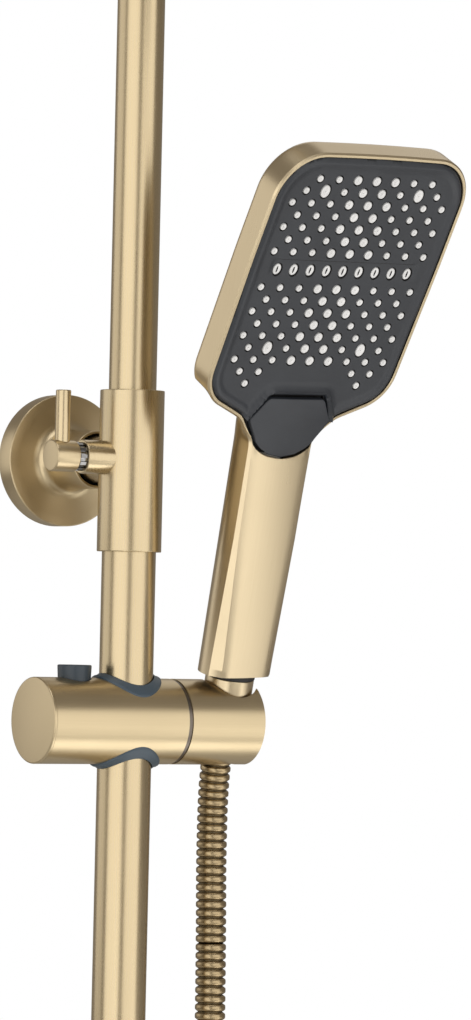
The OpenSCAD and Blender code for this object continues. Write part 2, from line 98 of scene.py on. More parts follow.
COLUMN_Y = centre_of("lower_tube").y
SLIDER_Z = centre_of("slider_bush").z
LOWER_Z = centre_of("lower_flange").z
RAIN = centre_of("rain_shell")
COLUMN = Matrix.Translation((0, COLUMN_Y, 0))
LOWER = Matrix.Translation((0, COLUMN_Y, LOWER_Z))
SLIDER = Matrix.Translation((0, COLUMN_Y, SLIDER_Z))

turn_joint = JOINTS["handset_turn"]
LEAN = math.degrees(math.atan2(-turn_joint["axis"][1], turn_joint["axis"][2]))
HANDSET_TURN = 7.5
FACE_TILT = 16.5
PADDLE_TILT = 12.3
SOCKET = Matrix.Translation(turn_joint["pos_m"]) @ about("X", LEAN)
HANDSET = SOCKET @ about("Z", HANDSET_TURN)
FACE = HANDSET @ moved(0, -34, 221) @ about("X", FACE_TILT)
PADDLE = HANDSET @ moved(0, -12.3, 129) @ about("X", PADDLE_TILT)
ALONG_X = about("Y", 90)
OUT_OF_WALL = about("X", 90)


# ---------------------------------------------------------------- camera

CAMERA_AZIMUTH = -32.74
CAMERA_ELEVATION = -1.26
CAMERA_ROLL = 1.28
CAMERA_DISTANCE = 2.3624
CAMERA_TARGET = Vector((0.0579, COLUMN_Y, -0.0219))
CAMERA_LENS = 178.4


def towards(azimuth, elevation):
    """The direction from the object to a viewer at that azimuth and elevation."""
    a, e = math.radians(azimuth), math.radians(elevation)
    return Vector((math.sin(a) * math.cos(e), -math.cos(a) * math.cos(e), math.sin(e)))


def make_camera():
    data = bpy.data.cameras.new("camera")
    data.lens = CAMERA_LENS
    data.sensor_width = 36
    camera = bpy.data.objects.new("camera", data)
    back = towards(CAMERA_AZIMUTH, CAMERA_ELEVATION)
    camera.location = CAMERA_TARGET + back * CAMERA_DISTANCE
    aim = (-back).to_track_quat("-Z", "Y").to_matrix().to_4x4()
    camera.matrix_world = Matrix.Translation(camera.location) @ aim @ about("Z", CAMERA_ROLL)
    bpy.context.scene.collection.objects.link(camera)
    bpy.context.scene.camera = camera


make_camera()


# ---------------------------------------------------------------- materials

def new_material(name):
    material = bpy.data.materials.new(name)
    material.use_nodes = True
    nodes, links = material.node_tree.nodes, material.node_tree.links
    return material, nodes, links, nodes["Principled BSDF"]


def noise_at(nodes, links, scale, turn=(0, 0, 0), detail=2.0):
    """A noise texture in the object's own coordinates, with its cells per metre along each axis."""
    coords = nodes.new("ShaderNodeTexCoord")
    mapping = nodes.new("ShaderNodeMapping")
    mapping.inputs["Rotation"].default_value = [math.radians(t) for t in turn]
    stretch = nodes.new("ShaderNodeMapping")
    stretch.inputs["Scale"].default_value = scale
    noise = nodes.new("ShaderNodeTexNoise")
    noise.inputs["Scale"].default_value = 1.0
    noise.inputs["Detail"].default_value = detail
    links.new(coords.outputs["Object"], mapping.inputs["Vector"])
    links.new(mapping.outputs["Vector"], stretch.inputs["Vector"])
    links.new(stretch.outputs["Vector"], noise.inputs["Vector"])
    return noise.outputs["Fac"]


def ranged(nodes, links, value, low, high):
    scale = nodes.new("ShaderNodeMapRange")
    scale.inputs["From Min"].default_value = 0.3
    scale.inputs["From Max"].default_value = 0.7
    scale.inputs["To Min"].default_value = low
    scale.inputs["To Max"].default_value = high
    links.new(value, scale.inputs["Value"])
    return scale.outputs["Result"]


def two_tone(nodes, links, factor, dark, light):
    mix = nodes.new("ShaderNodeMix")
    mix.data_type = "RGBA"
    mix.inputs[6].default_value = (*dark, 1)
    mix.inputs[7].default_value = (*light, 1)
    links.new(factor, mix.inputs[0])
    return mix.outputs[2]


def bumped(nodes, links, height, strength, distance):
    bump = nodes.new("ShaderNodeBump")
    bump.inputs["Strength"].default_value = strength
    bump.inputs["Distance"].default_value = distance
    links.new(height, bump.inputs["Height"])
    return bump.outputs["Normal"]


def summed(nodes, links, a, b, share):
    mix = nodes.new("ShaderNodeMix")
    mix.inputs[0].default_value = share
    links.new(a, mix.inputs[2])
    links.new(b, mix.inputs[3])
    return mix.outputs[0]


def brushed_metal(name, dark, light, rough, grain, turn=(0, 0, 0), strength=0.09):
    """Satin metal whose fine scratches run where grain is small: cells per metre along X, Y and Z."""
    material, nodes, links, shader = new_material(name)
    fine = noise_at(nodes, links, grain, turn, 3.0)
    broad = noise_at(nodes, links, [g * 0.6 for g in grain], turn, 2.0)
    cloud = noise_at(nodes, links, (28, 28, 28))
    scratches = summed(nodes, links, fine, broad, 0.3)
    links.new(two_tone(nodes, links, ranged(nodes, links, scratches, 0, 1), dark, light),
              shader.inputs["Base Color"])
    uneven = summed(nodes, links, scratches, cloud, 0.35)
    links.new(ranged(nodes, links, uneven, rough - 0.03, rough + 0.04), shader.inputs["Roughness"])
    links.new(bumped(nodes, links, scratches, strength, 0.00004), shader.inputs["Normal"])
    shader.inputs["Metallic"].default_value = 1.0
    return material


def moulded(name, dark, light, rough, texture=2600, strength=0.25, specular=0.5):
    """Moulded plastic or rubber with a fine spark-eroded texture."""
    material, nodes, links, shader = new_material(name)
    fine = noise_at(nodes, links, (texture,) * 3, detail=4.0)
    cloud = noise_at(nodes, links, (45, 45, 45))
    links.new(two_tone(nodes, links, ranged(nodes, links, cloud, 0, 1), dark, light),
              shader.inputs["Base Color"])
    uneven = summed(nodes, links, fine, cloud, 0.4)
    links.new(ranged(nodes, links, uneven, rough - 0.05, rough + 0.07), shader.inputs["Roughness"])
    links.new(bumped(nodes, links, fine, strength, 0.00005), shader.inputs["Normal"])
    shader.inputs["Specular IOR Level"].default_value = specular
    return material


FINE, LONG = 2600, 40
HANDSET_BACK = (-LEAN, 0, -HANDSET_TURN)
gold_dark, gold_light = (0.565, 0.465, 0.295), (0.595, 0.49, 0.315)

MATERIALS = {
    "brushed_gold": brushed_metal("brushed_gold", gold_dark, gold_light, 0.27, (FINE, FINE, LONG)),
    "gold_across": brushed_metal("gold_across", gold_dark, gold_light, 0.31, (LONG, FINE, FINE)),
    "gold_turned": brushed_metal("gold_turned", gold_dark, gold_light, 0.33, (FINE, FINE, FINE)),
    "gold_flat": brushed_metal("gold_flat", gold_dark, gold_light, 0.34, (900, 900, FINE)),
    "hose_gold": brushed_metal("hose_gold", (0.37, 0.285, 0.165), (0.44, 0.345, 0.205), 0.3, (800, 800, 800)),
    # Dark bronze put on the hose's groove faces: painted shade in the grooves.
    "hose_groove_painted_shade": brushed_metal("hose_groove_painted_shade", (0.11, 0.082, 0.045), (0.15, 0.115, 0.066), 0.4,
                                 (800, 800, 800)),
    "plated_plastic": brushed_metal("plated_plastic", (0.59, 0.49, 0.325), (0.62, 0.52, 0.35), 0.29,
                                    (FINE, FINE, LONG), HANDSET_BACK, 0.1),
    "steel": brushed_metal("steel", (0.42, 0.39, 0.37), (0.56, 0.53, 0.51), 0.33, (FINE, 300, 300)),
    "chrome_nut": brushed_metal("chrome_nut", (0.2, 0.2, 0.2), (0.3, 0.3, 0.3), 0.1, (900, 900, 900)),
    "black_rubber": moulded("black_rubber", (0.007, 0.007, 0.007), (0.015, 0.014, 0.014), 0.6),
    "white_plastic": moulded("white_plastic", (0.72, 0.71, 0.68), (0.8, 0.79, 0.77), 0.42),
    "slate_plastic": moulded("slate_plastic", (0.048, 0.073, 0.098), (0.056, 0.083, 0.11), 0.4),
    "slate_dark": moulded("slate_dark", (0.026, 0.04, 0.055), (0.034, 0.05, 0.067), 0.38),
    # Steel for the friction ring: its steel colour darkened with painted shade of the gap between barrel and
    # knuckle.
    "steel_in_painted_shade": brushed_metal("steel_in_painted_shade", (0.14, 0.12, 0.1), (0.2, 0.175, 0.15), 0.33, (FINE, 300, 300)),
    "charcoal_plastic": moulded("charcoal_plastic", (0.024, 0.028, 0.036), (0.032, 0.037, 0.046), 0.4),
    "nozzle_silicone": moulded("nozzle_silicone", (0.78, 0.79, 0.8), (0.86, 0.87, 0.88), 0.38, 1500, 0.1),
    # Near-black painted shade: on nozzle holes and grooves, the slot band's upper wall, behind the face plate's
    # gaps and on the pocket floor.
    "painted_shade_black": moulded("painted_shade_black", (0.01, 0.01, 0.011), (0.02, 0.02, 0.022), 0.6),
}


# ---------------------------------------------------------------- mesh tools

def add_piece(name, verts, faces, place, material, node, also=(), sharp=32, extra=None):
    """One finished piece: local millimetres put in place, riding with its CAD node's body."""
    mesh = bpy.data.meshes.new(name)
    mesh.from_pydata([place @ (Vector(v) * MM) for v in verts], [], faces)
    mesh.materials.append(MATERIALS[material])
    if extra:
        mesh.materials.append(MATERIALS[extra[0]])
        for index in extra[1]:
            mesh.polygons[index].material_index = 1
    work = bmesh.new()
    work.from_mesh(mesh)
    bmesh.ops.remove_doubles(work, verts=work.verts, dist=2e-6)
    bmesh.ops.dissolve_degenerate(work, edges=work.edges, dist=1e-7)
    bmesh.ops.recalc_face_normals(work, faces=work.faces)
    work.to_mesh(mesh)
    work.free()
    mesh.shade_smooth()
    mesh.set_sharp_from_angle(angle=math.radians(sharp))
    piece = bpy.data.objects.new(name, mesh)
    bpy.context.scene.collection.objects.link(piece)
    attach(piece, BODY_OF[node])
    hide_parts(node, *also)
    return piece


def rounded(points, steps=4):
    """A profile from (x, y) or (x, y, radius) corners, with the radius ones rounded."""
    out = []
    for k, corner in enumerate(points):
        if len(corner) < 3 or k in (0, len(points) - 1):
            out.append(corner[:2])
            continue
        here = Vector(corner[:2])
        before, after = Vector(points[k - 1][:2]) - here, Vector(points[k + 1][:2]) - here
        reach = corner[2] / math.tan(before.angle(after) / 2)
        reach = min(reach, before.length * 0.49, after.length * 0.49)
        a, b = here + before.normalized() * reach, here + after.normalized() * reach
        for i in range(steps + 1):
            t = i / steps
            out.append(tuple(a * (1 - t) ** 2 + here * 2 * t * (1 - t) + b * t * t))
    return out


def turned(profile, steps=96, shift=0, wave=None):
    """Vertices and faces of a profile of (radius, height) turned about Z. wave scales the radius."""
    verts, faces, rings = [], [], []
    for r, z in profile:
        if r < 1e-6:
            rings.append([shift + len(verts)])
            verts.append((0, 0, z))
            continue
        rings.append([shift + len(verts) + i for i in range(steps)])
        for i in range(steps):
            a = 2 * math.pi * i / steps
            rr = r * (wave(a, r, z) if wave else 1)
            verts.append((rr * math.cos(a), rr * math.sin(a), z))
    for low, high in zip(rings, rings[1:]):
        for i in range(steps):
            j = (i + 1) % steps
            if len(low) == 1 and len(high) == 1:
                continue
            if len(low) == 1:
                faces.append((low[0], high[i], high[j]))
            elif len(high) == 1:
                faces.append((low[i], high[0], low[j]))
            else:
                faces.append((low[i], low[j], high[j], high[i]))
    return verts, faces


def transformed(shape, matrix):
    verts, faces = shape
    local = matrix.copy()
    local.translation = local.translation / MM
    return [tuple(local @ Vector(v)) for v in verts], faces


def joined(*shapes):
    verts, faces = [], []
    for some_verts, some_faces in shapes:
        base = len(verts)
        verts += some_verts
        faces += [tuple(i + base for i in f) for f in some_faces]
    return verts, faces


def lathe(name, profile, place, material, node, also=(), steps=96, wave=None):
    verts, faces = turned(rounded(profile), steps, wave=wave)
    return add_piece(name, verts, faces, place, material, node, also)


def smooth(low, high, x):
    t = min(max((x - low) / (high - low), 0.0), 1.0)
    return t * t * (3 - 2 * t)


def mixed(a, b, t):
    return a + (b - a) * t


# ---------------------------------------------------------------- hose

HOSE_R = 7.0
RIDGE_PITCH = 4.0
RIDGE_SIDES = 20
RINGS_PER_RIDGE = 8
RIDGE_DEPTH = 1.2
# Share of a ridge's length from its crest at which the groove's painted shade begins.
GROOVE_START = 0.43
# Lengths, in metres, of the stretches the hose is cut into at the cone, the holder and the slider.
CONE_STRETCH, HOLDER_STRETCH, SLIDER_STRETCH = 0.090, 0.088, 0.088
HOSE_ROUTE = [
    (0.0534, -0.06456, -0.13478), (0.0534, -0.06263, -0.14254), (0.0538, -0.0605, -0.158),
    (0.0542, -0.0596, -0.185), (0.0545, -0.0602, -0.220), (0.0545, -0.061, -0.260), (0.0545, -0.061, -0.305),
    (0.0545, -0.061, -0.350), (0.0545, -0.061, -0.395), (0.0545, -0.061, -0.440),
    (0.0545, -0.061, -0.485), (0.0545, -0.061, -0.530), (0.0545, -0.061, -0.575),
    (0.0545, -0.061, -0.620), (0.055, -0.061, -0.665), (0.057, -0.061, -0.710),
    (0.060, -0.061, -0.755), (0.064, -0.061, -0.800), (0.0695, -0.061, -0.845),
    (0.076, -0.061, -0.890), (0.084, -0.061, -0.935), (0.091, -0.061, -0.980),
    (0.097, -0.061, -1.025), (0.101, -0.061, -1.070), (0.101, -0.061, -1.112),
    (0.095, -0.062, -1.150), (0.081, -0.062, -1.181), (0.057, -0.063, -1.201),
    (0.027, -0.064, -1.208), (-0.003, -0.064, -1.201), (-0.028, -0.065, -1.181),
    (-0.043, -0.066, -1.151), (-0.049, -0.067, -1.112), (-0.048, -0.067, -1.068),
    (-0.042, -0.068, -1.025), (-0.032, -0.068, -0.983), (-0.020, -0.068, -0.944),
    (-0.008, -0.068, -0.910), (-0.002, -0.068, -0.886), (0.0, -0.068, -0.86505)]


def smooth_route(points, step):
    """A smooth curve through the points, cut into even steps."""
    p = np.array([points[0]] + list(points) + [points[-1]])
    fine = []
    for i in range(1, len(p) - 2):
        for t in np.linspace(0, 1, 40, endpoint=False):
            a, b, c, d = p[i - 1], p[i], p[i + 1], p[i + 2]
            fine.append(0.5 * (2 * b + (c - a) * t + (2 * a - 5 * b + 4 * c - d) * t * t
                               + (3 * b - a - 3 * c + d) * t ** 3))
    fine.append(p[-1])
    fine = np.array(fine)
    along = np.concatenate([[0], np.cumsum(np.linalg.norm(np.diff(fine, axis=0), axis=1))])
    count = int(along[-1] / step)
    even = np.linspace(0, along[-1], count + 1)
    return np.stack([np.interp(even, along, fine[:, k]) for k in range(3)], axis=1), even


def ridge_place(s):
    """Where a length along the hose falls in its ridge: 0 on the crest and 0.5 either way in the groove."""
    return (s / (RIDGE_PITCH * MM) + 0.5) % 1 - 0.5


def ridged_tube(centres, along, name):
    """One stretch of interlocked steel hose with its rounded ridges."""
    across = np.array((0.0, 1.0, 0.0))
    tangents = np.gradient(centres, axis=0)
    tangents /= np.linalg.norm(tangents, axis=1)[:, None]
    verts = []
    for centre, tangent, s in zip(centres, tangents, along):
        side = np.cross(across, tangent)
        side /= np.linalg.norm(side)
        up = np.cross(tangent, side)
        off = ridge_place(s)
        r = (HOSE_R + 0.15 - RIDGE_DEPTH * math.exp(-((0.5 - abs(off)) / 0.13) ** 2) - 1.2 * off * off) * MM
        for k in range(RIDGE_SIDES):
            a = 2 * math.pi * k / RIDGE_SIDES
            verts.append(tuple(centre + side * (r * math.cos(a)) + up * (r * math.sin(a))))
    n = len(centres)
    faces = []
    for i in range(n - 1):
        for k in range(RIDGE_SIDES):
            j = (k + 1) % RIDGE_SIDES
            base = i * RIDGE_SIDES
            faces.append((base + k, base + j, base + RIDGE_SIDES + j, base + RIDGE_SIDES + k))
    faces.append(tuple(range(RIDGE_SIDES - 1, -1, -1)))
    faces.append(tuple((n - 1) * RIDGE_SIDES + k for k in range(RIDGE_SIDES)))
    mesh = bpy.data.meshes.new(name)
    mesh.from_pydata(verts, [], faces)
    mesh.materials.append(MATERIALS["hose_gold"])
    mesh.materials.append(MATERIALS["hose_groove_painted_shade"])
    # Faces in each groove get the dark material: painted shade between the ridges.
    for i in range(n - 1):
        if abs(ridge_place((along[i] + along[i + 1]) / 2)) > GROOVE_START:
            for k in range(RIDGE_SIDES):
                mesh.polygons[i * RIDGE_SIDES + k].material_index = 1
    mesh.shade_smooth()
    for cap in (len(faces) - 2, len(faces) - 1):
        mesh.polygons[cap].use_smooth = False
    piece = bpy.data.objects.new(name, mesh)
    bpy.context.scene.collection.objects.link(piece)
    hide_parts("hose")
    return piece


def build_hose():
    centres, along = smooth_route(HOSE_ROUTE, RIDGE_PITCH * MM / RINGS_PER_RIDGE)
    low_index = int(np.argmin(centres[:, 2]))
    stretches = [
        ("hose_at_cone", "hose_end", "socket", CONE_STRETCH),
        ("hose_at_holder", "socket", "slider", HOLDER_STRETCH),
        ("hose_at_slider", "slider", "carriage", SLIDER_STRETCH)]
    start = 0
    for name, upper, lower, length in stretches:
        stop = int(np.searchsorted(along, along[start] + length))
        stop = max(range(stop - 4, stop + 5), key=lambda i: abs(ridge_place(along[i])))
        declare_stretch(name, centres[start:stop + 1], along[start:stop + 1])
        start = stop
    declare_stretch("hose_right_leg", centres[start:low_index + 1], along[start:low_index + 1])
    declare_stretch("hose_left_leg", centres[low_index:][::-1], along[low_index:][::-1])


def declare_stretch(name, centres, along):
    piece = ridged_tube(centres, along, name)
    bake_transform(piece)


build_hose()

# ---------------------------------------------------------------- column and diverter

def wall_flange(name, node, place):
    lathe(name, [(0, 0.2), (29.2, 0.2), (31, 0, 0.3), (31, 10.3, 0.7), (25, 10.5, 4), (13.5, 11.1, 7),
                 (13.5, 38.5, 0.7), (12.1, 38.5, 0.5), (12.1, 20), (0, 20)],
          place @ OUT_OF_WALL, "gold_turned", node, steps=128)


BORE_R, SLEEVE_R, ARM_R = 12.53, 14.9, 10.8


def tee_body(name, node, place, bottom, top, boss):
    """A sleeve on the tube with its arm into the wall, and a boss to the left on the diverter."""
    sleeve = turned(rounded([(BORE_R, bottom), (SLEEVE_R, bottom, 0.45), (SLEEVE_R, top, 0.45), (12.0, top),
                             (11.2, top - 1.2), (11.2, top - 6), (BORE_R, top - 9), (BORE_R, bottom)]), 128)
    arm = transformed(turned([(0, 12), (ARM_R, 12), (ARM_R, 58), (0, 58)], 96), moved(0, 68, 0) @ OUT_OF_WALL)
    shapes = [sleeve, arm]
    if boss:
        side = turned(rounded([(0, 4), (7.8, 4), (7.8, 27, 0.5), (6.1, 27, 0.3), (6.1, 25.5), (0, 25.5)]), 72)
        shapes.append(transformed(side, about("Y", -90)))
    verts, faces = joined(*shapes)
    return add_piece(name, verts, faces, place, "brushed_gold", node)


def build_column():
    wall_flange("upper_wall_flange", "upper_flange", Matrix.Identity(4))
    wall_flange("lower_wall_flange", "lower_flange", Matrix.Translation((0, 0, LOWER_Z)))
    tee_body("diverter_sleeve", "diverter_body", COLUMN, -43, 31.5, True)
    low = turned(rounded([(BORE_R, 40), (14.5, 40, 0.45), (14.5, -45, 0.8), (9.9, -45, 0.3), (9.9, -40),
                          (0, -40)]), 128)
    arm = transformed(turned([(0, 12), (ARM_R, 12), (ARM_R, 58), (0, 58)], 96), moved(0, 68, 0) @ OUT_OF_WALL)
    verts, faces = joined(low, arm)
    add_piece("lower_bracket", verts, faces, LOWER, "brushed_gold", "lower_body")
    knob = [(0, -43.2), (7.2, -43.2, 0.7), (7.2, -31, 0.5), (3.1, -31), (3.1, -35), (0, -35)]
    lathe("diverter_knob_cap", knob, COLUMN @ ALONG_X, "gold_across", "diverter_knob", steps=72)
    lever = [(0, 4.5), (3.5, 4.5), (3.5, 30.2, 0.6), (0, 30.2)]
    lathe("diverter_lever_pin", lever, COLUMN @ moved(-37, 0, 0), "brushed_gold", "diverter_lever", steps=48)


# ---------------------------------------------------------------- slider

# Outside radius of the barrel where its collars and end cap meet it.
BARREL_R = 19.85


def saddle(r, a):
    """Height of the barrel's surface at radius r and angle a round the bar."""
    return math.sqrt(BARREL_R ** 2 - (r * math.sin(a)) ** 2)


def build_collar(name, node, flip):
    """The soft collar in the barrel's hole: it hugs the barrel outside and curls up round the bar."""
    steps = 128
    section = [(16.2, -0.8), (16.35, 0.35), (16.1, 0.95), (15.5, 1.3), (14.6, 1.45), (13.9, 1.75),
               (13.35, 2.2), (12.98, 2.15), (12.82, 1.7), (12.8, -3.5), (15.2, -3.5)]
    verts, faces = [], []
    for i in range(steps):
        a = 2 * math.pi * i / steps
        for r, rise in section:
            side = 1 - abs(math.sin(a)) * 0.15
            z = saddle(r, a) + rise * side
            verts.append((r * math.cos(a), r * math.sin(a), z))
    n = len(section)
    for i in range(steps):
        for k in range(n):
            a, b = i * n, ((i + 1) % steps) * n
            m = (k + 1) % n
            faces.append((a + k, a + m, b + m, b + k))
    place = SLIDER @ about("X", 180) if flip else SLIDER
    add_piece(name, verts, faces, place, "slate_plastic", node, sharp=60)


def build_slider():
    cap = [(0, -49.3), (BARREL_R, -49.3, 0.75), (BARREL_R, -47.82, 0.15), (19.3, -47.75), (0, -47.75)]
    lathe("end_cap_disc", cap, SLIDER @ ALONG_X, "gold_turned", "barrel_end_cap", steps=160)
    build_collar("collar_upper", "collar_top", False)
    build_collar("collar_lower", "collar_bottom", True)
    button = [(0, -3.5), (4, -3.5), (4, 16.3), (7.45, 16.4), (7.65, 20), (7.9, 25.6, 0.9), (6.4, 25.6, 1.5),
              (3, 25.25), (0, 25.2)]
    lathe("button_cap", button, SLIDER @ moved(-27.8, 0, 0), "slate_dark", "release_button", steps=72)


# ---------------------------------------------------------------- handset

FACE_START = 199.9
SPINE_BEND = 117.5
FRONT_Y = -10.6
HANDLE_LOW = 24.5
HANDLE_HALF = 18.6


def arc(cx, cy, r, a0, a1, steps):
    return [(cx + r * math.cos(math.radians(mixed(a0, a1, i / steps))),
             cy + r * math.sin(math.radians(mixed(a0, a1, i / steps)))) for i in range(steps + 1)]


def resampled(points, step):
    p = np.array(points, float)
    along = np.concatenate([[0], np.cumsum(np.linalg.norm(np.diff(p, axis=0), axis=1))])
    count = max(2, int(round(along[-1] / step)))
    even = np.linspace(0, along[-1], count + 1)
    return np.stack([np.interp(even, along, p[:, k]) for k in range(2)], axis=1)


def head_half():
    """Half of the head's outline on the face, from the neck up to the middle of the top."""
    return ([(18.8, -90.5), (19.2, -87)] + arc(36.4, -86.4, 12, 140, 110, 8)
            + arc(36.8, -52, 19.5, -70, 0, 16) + [(56.9, -20), (57.4, 5)]
            + arc(33.4, 35, 24, 0, 90, 16) + [(16, 59.3), (0, 59.4)])


def relaxed(points, rounds=3):
    """Softens the small corners of an outline and keeps its ends."""
    p = points.copy()
    for _ in range(rounds):
        p[1:-1] = (p[:-2] + 2 * p[1:-1] + p[2:]) / 4
    return p


def handset_half():
    """Half of the handset's outline as (half-width, length along its front)."""
    handle = [(HANDLE_HALF, 0), (HANDLE_HALF, 80), (HANDLE_HALF + 0.1, 92)]
    head = [(u, v + FACE_START) for u, v in head_half()]
    return relaxed(resampled(handle + head, 0.9))


def spine(s, depth):
    """The point (y, z) in the handset's frame at length s along its front and that depth behind it."""
    bend = smooth(SPINE_BEND - 9, SPINE_BEND + 9, s)
    tilt = math.radians(FACE_TILT)
    run = s - SPINE_BEND
    low = (FRONT_Y, HANDLE_LOW + s)
    high = (FRONT_Y - run * math.sin(tilt), HANDLE_LOW + SPINE_BEND + run * math.cos(tilt))
    lean = tilt * smooth(98, 135, s)
    return (mixed(low[0], high[0], bend) + depth * math.cos(lean),
            mixed(low[1], high[1], bend) + depth * math.sin(lean))


def chamfer_at(s):
    return float(np.interp(s, (0, 9.5, 65.5, 92.5, 112, 124), (4.3, 4.0, 1.7, 1.4, 1.1, 0.75)))


TONGUE_LOW, TONGUE_HIGH, TONGUE_HALF = 104.5, 115.0, 19.0
LIP = 2.1


def lip_at(s):
    return mixed(1.35, LIP, smooth(112, 126, s))


def tongue_at(s):
    reach = min(max((s - TONGUE_LOW) / (TONGUE_HIGH - TONGUE_LOW), 0), 1)
    return TONGUE_HALF * math.sqrt(1 - (1 - reach) ** 2)


def housing_section(p, inward, skeleton):
    """The shell's section at one outline point, from the front's inner edge to the middle of the back."""
    s = p[1]
    head = smooth(110, 134, s)
    gap = np.linalg.norm(skeleton - p)
    to_middle = (skeleton - p) / max(gap, 1e-9)

    def at(t, depth):
        way = to_middle * (1 - head) + inward * head
        q = p + way / np.linalg.norm(way) * t
        return (q[0], *spine(q[1], depth))

    def across(share, t, depth):
        way = to_middle * (1 - head) + inward * head
        q = p + way / np.linalg.norm(way) * t
        q = q + (skeleton - q) * share
        return (q[0], *spine(q[1], depth))

    half = abs(p[0])
    leg = chamfer_at(s)
    open_front = s > TONGUE_LOW
    inner = gap if not open_front else (lip_at(s) if s > TONGUE_HIGH else max(half - tongue_at(s), lip_at(s)))
    crown = 1.4 * (1 - head)

    def front(t):
        return -crown * (1 - (1 - t / max(half, 1)) ** 2) * smooth(leg, leg + 3, t)

    if open_front:
        points = [at(inner, 3.9), at(inner, front(inner) + 0.25)]
    else:
        points = [at(inner, front(inner))] * 2
    for k in range(1, 7):
        t = mixed(inner, leg, k / 6)
        points.append(at(t, front(t)))
    points.append(at(0, leg))
    side_end = mixed(8.1, 10.4, head)
    flare = max(half - HANDLE_HALF, 0) * (1 - smooth(120, 138, s)) * 0.85
    for k in range(1, 4):
        points.append(at(flare * k / 3, mixed(leg, side_end, k / 3)))
    radius = mixed(min(HANDLE_HALF, gap), 4.2, head)
    depth = mixed(14.5, 4.1, head)
    for k in range(1, 11):
        a = math.radians(9 * k)
        points.append(at(flare + radius * (1 - math.cos(a)), side_end + depth * math.sin(a)))
    for k in range(1, 6):
        bulge = 0.8 * head * math.sin(math.radians(18 * k))
        points.append(across(k / 5, flare + radius, side_end + depth + bulge))
    return points


def build_housing():
    half = handset_half()
    outline = np.concatenate([half[:-1] * (-1, 1), half[::-1]])
    ahead = np.gradient(outline, axis=0)
    ahead /= np.linalg.norm(ahead, axis=1)[:, None]
    sections = []
    for p, t in zip(outline, ahead):
        inward = np.array((t[1], -t[0]))
        skeleton = np.array((0.0, min(p[1], FACE_START)))
        sections.append(housing_section(p, inward, skeleton))
    count = len(sections[0])
    verts = [v for section in sections for v in section]
    faces = []
    for i in range(len(sections) - 1):
        for k in range(count - 1):
            a, b = i * count + k, (i + 1) * count + k
            faces.append((a, a + 1, b + 1, b))
    last = (len(sections) - 1) * count
    low_ring = [last + k for k in range(count)] + [k for k in range(count - 1, -1, -1)]
    middle = len(verts)
    verts.append((0, 0, HANDLE_LOW))
    for a, b in zip(low_ring, low_ring[1:] + low_ring[:1]):
        faces.append((a, b, middle))
    add_piece("handset_shell", verts, faces, HANDSET, "plated_plastic", "handset_housing", sharp=28)


def face_outline():
    """The face plate's outline, inside the lip and round the paddle's gap."""
    half = relaxed(resampled(head_half(), 1.4), 4)
    ahead = np.gradient(half, axis=0)
    ahead /= np.linalg.norm(ahead, axis=1)[:, None]
    inward = np.stack([-ahead[:, 1], ahead[:, 0]], axis=1)
    inner = half + inward * (LIP + 0.4)
    inner = [tuple(p) for p in inner if p[1] > -77.3]
    notch = [(24.4, -77.0), (22.4, -73.2), (20.4, -69.6), (18.5, -66.2), (17.2, -64.2), (15.6, -63.2),
             (12, -63.1), (6, -63.1), (0, -63.1)]
    right = notch[::-1] + inner
    return right + [(-u, v) for u, v in right[::-1] if abs(u) > 0.01], [
        (-u, v) for u, v in notch] + notch[::-1][1:]


HALF_PITCH, ROW_PITCH, SLOT_PITCH = 5.61, 6.16, 9.77


def nozzle_spots():
    """Every round or oval nozzle on the face as (u, v, size): 0 small, 1 large, 2 oval."""
    spots = []
    for j in range(17):
        if j == 7:
            continue
        v = 9.15 + (6 - j) * ROW_PITCH if j < 7 else -9.05 - (j - 8) * ROW_PITCH
        columns = (range(-8, 9, 2) if j % 2 == 0 else range(-7, 8, 2))
        if j == 0:
            columns = range(-6, 7, 2)
        if j == 15:
            columns = (-7, -5, 5, 7)
        if j == 16:
            columns = (-6, 6)
        for i in columns:
            size = 2 if j in (1, 13) and abs(i) == 5 else (1 if abs(i) <= 2 and j < 15 else 0)
            spots.append((i * HALF_PITCH, v, size))
    return spots


SMALL_R, LARGE_R = 1.6, 2.15
OVAL, SLOT = (2.45, 3.1), (2.2, 2.7)
GROOVE = 0.7


def ring_points(u, v, a, b, count):
    return [(u + a * math.cos(2 * math.pi * k / count), v + b * math.sin(2 * math.pi * k / count))
            for k in range(count)]


def distance_to(points, line):
    """Shortest distance from each point to a polyline."""
    p = np.array(points)[:, None, :]
    a, b = np.array(line[:-1])[None], np.array(line[1:])[None]
    ab = b - a
    t = np.clip(((p - a) * ab).sum(-1) / np.maximum((ab * ab).sum(-1), 1e-9), 0, 1)
    return np.linalg.norm(p - (a + t[..., None] * ab), axis=-1).min(1)


BAND_HALF, BAND_LOW, BAND_HIGH, BAND_WALL = 43.0, -4.9, 5.0, 0.4


def grown(outline, by):
    """An outline that runs to the left along its top, moved outward."""
    p = np.array(outline)
    ahead = np.roll(p, -1, axis=0) - np.roll(p, 1, axis=0)
    ahead /= np.linalg.norm(ahead, axis=1)[:, None]
    return [tuple(q) for q in p + np.stack([ahead[:, 1], -ahead[:, 0]], axis=1) * by]


def prism(outline, front, back):
    """A flat plate drawn in X and Z."""
    n = len(outline)
    verts = [(x, y, z) for y in (front, back) for x, z in outline]
    faces = [tuple(range(n)), tuple(range(2 * n - 1, n - 1, -1))]
    return verts, faces + [(i, (i + 1) % n, n + (i + 1) % n, n + i) for i in range(n)]


def well():
    """The floor of the pocket behind the paddle, all painted near-black as shade."""
    half = [(0, -1.2), (9, 0.6), (15, 4), (18.4, 8.2), (20.6, 12), (24.4, 18), (23.4, 22),
            (20.4, 28), (17, 34), (0, 34)]
    return prism(half + [(-u, v) for u, v in half[::-1][1:-1]], 6.8, 7.4)


